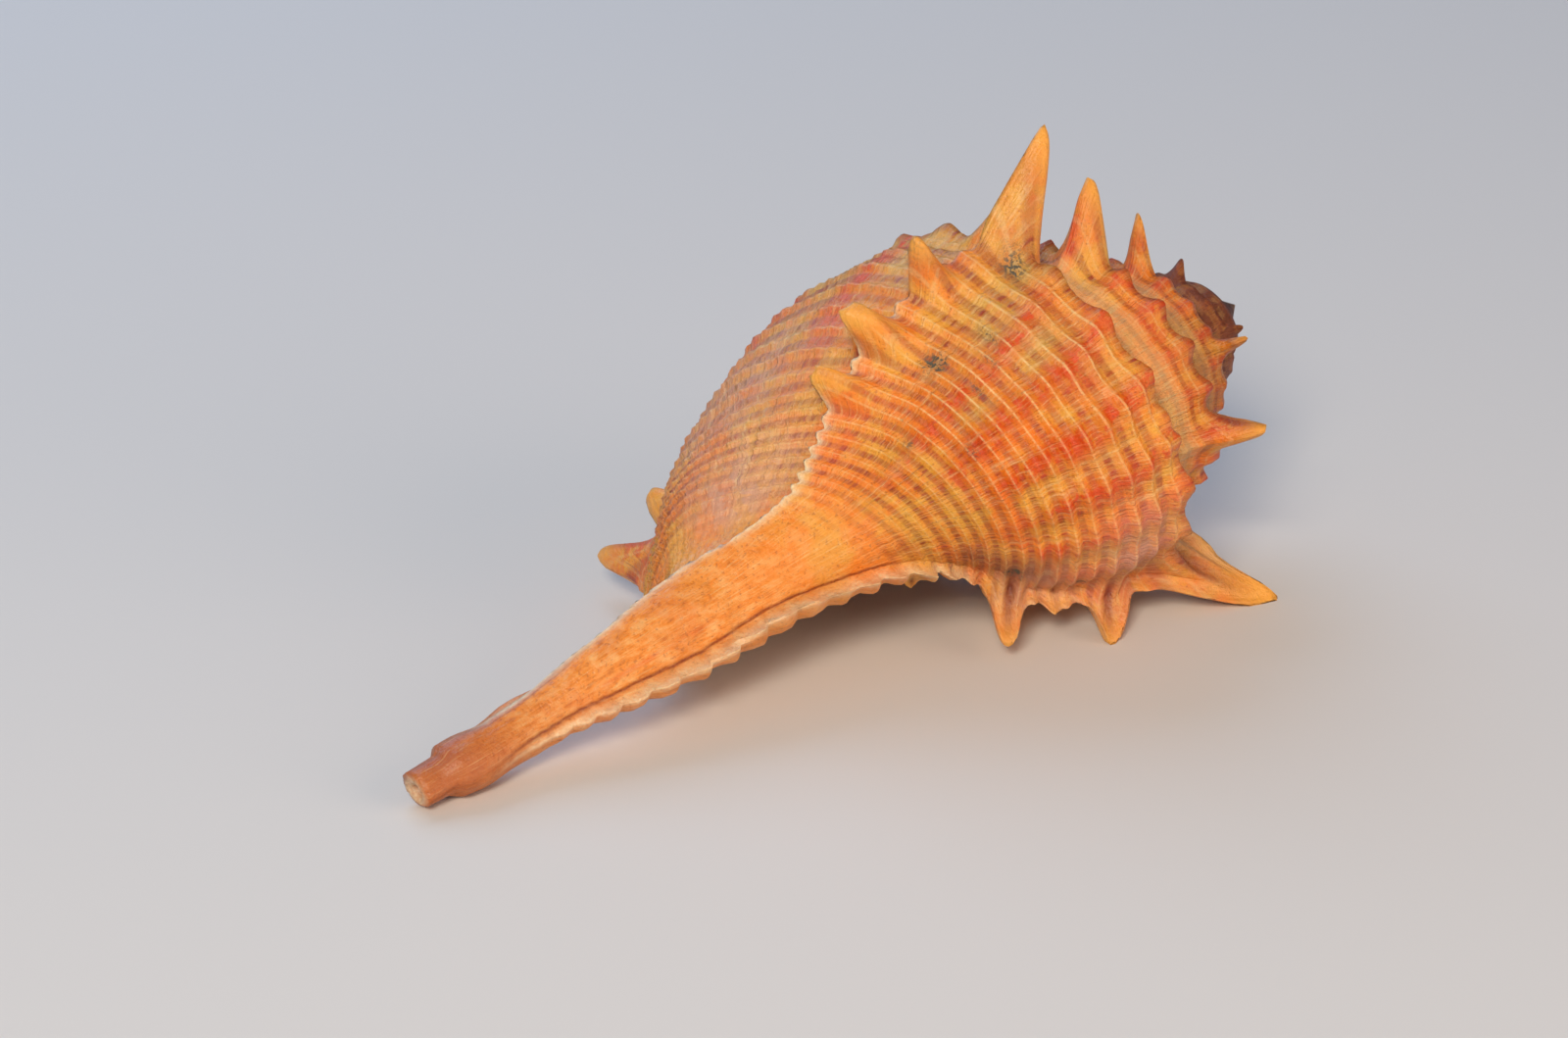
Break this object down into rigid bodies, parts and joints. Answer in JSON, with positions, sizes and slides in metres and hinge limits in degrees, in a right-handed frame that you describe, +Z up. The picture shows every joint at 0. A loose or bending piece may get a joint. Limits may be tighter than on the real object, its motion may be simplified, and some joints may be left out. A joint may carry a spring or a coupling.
{
  "type": "murex shell",
  "caption": "Orange spiny murex sea shell with a long straight canal, an angled spire and an open aperture, lying on its underside.",
  "frame": {"origin": "centre of the shell's bounding box, at floor level where it rests", "axes": "+Z up as the shell lies, +X from the canal tip towards the apex, the aperture faces down and towards +Y"},
  "size_m": [0.0792, 0.0394, 0.0373],
  "materials": {
    "shell": "orange calcite shell, satin, with cream cords and dark growth stains"
  },
  "bodies": {
    "root": {"murex_shell": "shell"}
  },
  "joints": []
}
